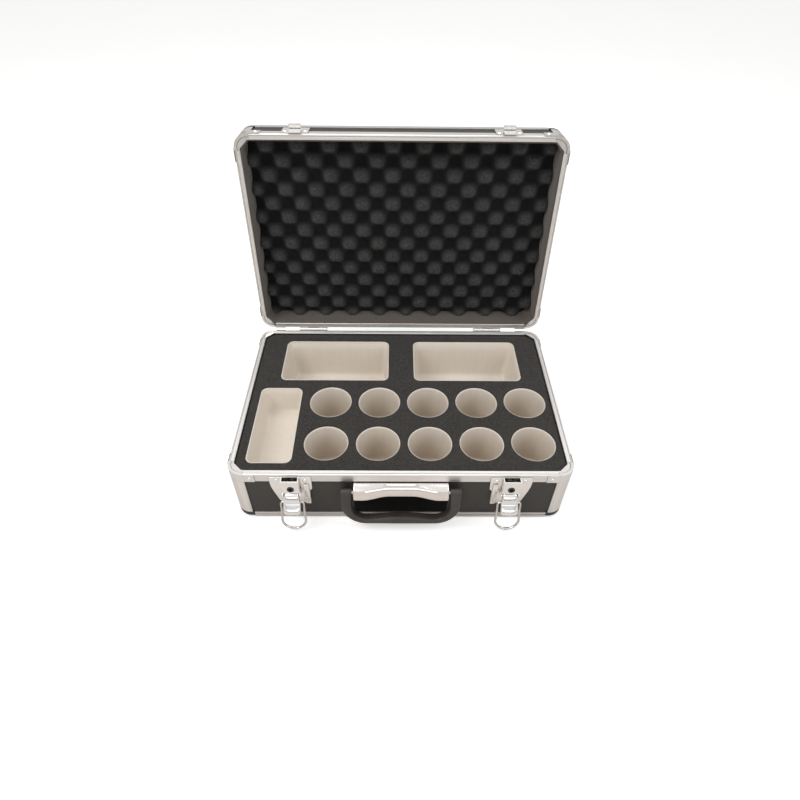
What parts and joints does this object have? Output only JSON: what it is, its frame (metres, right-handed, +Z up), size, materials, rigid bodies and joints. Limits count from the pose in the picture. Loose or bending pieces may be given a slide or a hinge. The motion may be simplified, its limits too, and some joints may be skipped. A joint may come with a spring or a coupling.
{
  "type": "eyepiece carrying case",
  "caption": "Aluminium-framed carrying case with a hinged lid, draw latches, a folding handle and a cut foam insert with round wells and trays for telescope eyepieces.",
  "frame": {"origin": "centre of the base's underside, the face the case rests on", "axes": "+X to the right as seen from the latches, +Y to the hinges at the back, +Z up"},
  "size_m": [0.4042, 0.3585, 0.358],
  "materials": {
    "frame_aluminium": "satin anodised",
    "panel_laminate": "fine textured laminate",
    "corner_plastic": "moulded black",
    "foam": "cut foam",
    "egg_foam": "convoluted foam",
    "liner": "satin moulded",
    "lining": "short pile",
    "hardware_steel": "stamped and plated",
    "hardware_chrome": "polished",
    "grip_plastic": "moulded black",
    "lock_dark": "dark"
  },
  "bodies": {
    "case_base": {"base_panel_front": "panel_laminate", "base_panel_back": "panel_laminate", "base_panel_left": "panel_laminate", "base_panel_right": "panel_laminate", "base_floor": "panel_laminate", "base_rim_front": "frame_aluminium", "base_rim_back": "frame_aluminium", "base_rim_left": "frame_aluminium", "base_rim_right": "frame_aluminium", "base_edge_front": "frame_aluminium", "base_edge_back": "frame_aluminium", "base_edge_left": "frame_aluminium", "base_edge_right": "frame_aluminium", "base_corner_columns": "frame_aluminium", "base_ball_corners": "corner_plastic", "base_rim_brackets": "frame_aluminium", "base_corner_blocks": "frame_aluminium", "foam_insert": "foam", "foam_pad": "foam", "eyepiece_cups": "liner", "tray_left": "liner", "tray_right": "liner", "tray_small": "liner", "hinge_base_leaves": "hardware_steel", "hinge_pins": "hardware_steel", "handle_bracket": "hardware_chrome", "handle_pins": "hardware_steel", "latch_plate_left": "hardware_steel", "latch_plate_right": "hardware_steel", "latch_pins": "hardware_steel", "base_fasteners": "frame_aluminium"},
    "lid": {"lid_panel_top": "panel_laminate", "lid_panel_front": "panel_laminate", "lid_panel_back": "panel_laminate", "lid_panel_left": "panel_laminate", "lid_panel_right": "panel_laminate", "lid_rim_front": "frame_aluminium", "lid_rim_back": "frame_aluminium", "lid_rim_left": "frame_aluminium", "lid_rim_right": "frame_aluminium", "lid_edge_front": "frame_aluminium", "lid_edge_back": "frame_aluminium", "lid_edge_left": "frame_aluminium", "lid_edge_right": "frame_aluminium", "lid_corner_columns": "frame_aluminium", "lid_ball_corners": "corner_plastic", "lid_rim_brackets": "frame_aluminium", "lid_corner_blocks": "frame_aluminium", "lid_lining": "lining", "lid_egg_foam": "egg_foam", "lid_catches": "hardware_steel", "lid_fasteners": "frame_aluminium", "hinge_lid_leaves": "hardware_steel"},
    "handle": {"handle_grip": "grip_plastic"},
    "lever_left": {"latch_lever_left": "hardware_chrome"},
    "lever_right": {"latch_lever_right": "hardware_chrome"},
    "bail_left": {"latch_bail_left": "hardware_steel"},
    "bail_right": {"latch_bail_right": "hardware_steel"},
    "barrel_left": {"lock_barrel_left": "lock_dark"},
    "barrel_right": {"lock_barrel_right": "lock_dark"}
  },
  "joints": [
    {"name": "lid_hinge", "type": "hinge", "parent": "case_base", "child": "lid", "pos_m": [0, 0.1345, 0.08515], "axis": [-1, 0, 0], "range_deg": [-96, 0]},
    {"name": "handle_swing", "type": "hinge", "parent": "case_base", "child": "handle", "pos_m": [0, -0.14, 0.063], "axis": [1, 0, 0], "range_deg": [-92, 8]},
    {"name": "latch_left", "type": "hinge", "parent": "case_base", "child": "lever_left", "pos_m": [-0.1267, -0.1385, 0.057], "axis": [1, 0, 0], "range_deg": [-25, 22]},
    {"name": "bail_left_swing", "type": "hinge", "parent": "lever_left", "child": "bail_left", "pos_m": [-0.1267, -0.14272, 0.04789], "axis": [1, 0, 0], "range_deg": [-145, 0]},
    {"name": "lock_left_turn", "type": "hinge", "parent": "case_base", "child": "barrel_left", "pos_m": [-0.1267, -0.136, 0.068], "axis": [0, -1, 0], "range_deg": [0, 90]},
    {"name": "latch_right", "type": "hinge", "parent": "case_base", "child": "lever_right", "pos_m": [0.1267, -0.1385, 0.057], "axis": [1, 0, 0], "range_deg": [-25, 22]},
    {"name": "bail_right_swing", "type": "hinge", "parent": "lever_right", "child": "bail_right", "pos_m": [0.1267, -0.14272, 0.04789], "axis": [1, 0, 0], "range_deg": [-145, 0]},
    {"name": "lock_right_turn", "type": "hinge", "parent": "case_base", "child": "barrel_right", "pos_m": [0.1267, -0.136, 0.068], "axis": [0, -1, 0], "range_deg": [0, 90]}
  ]
}
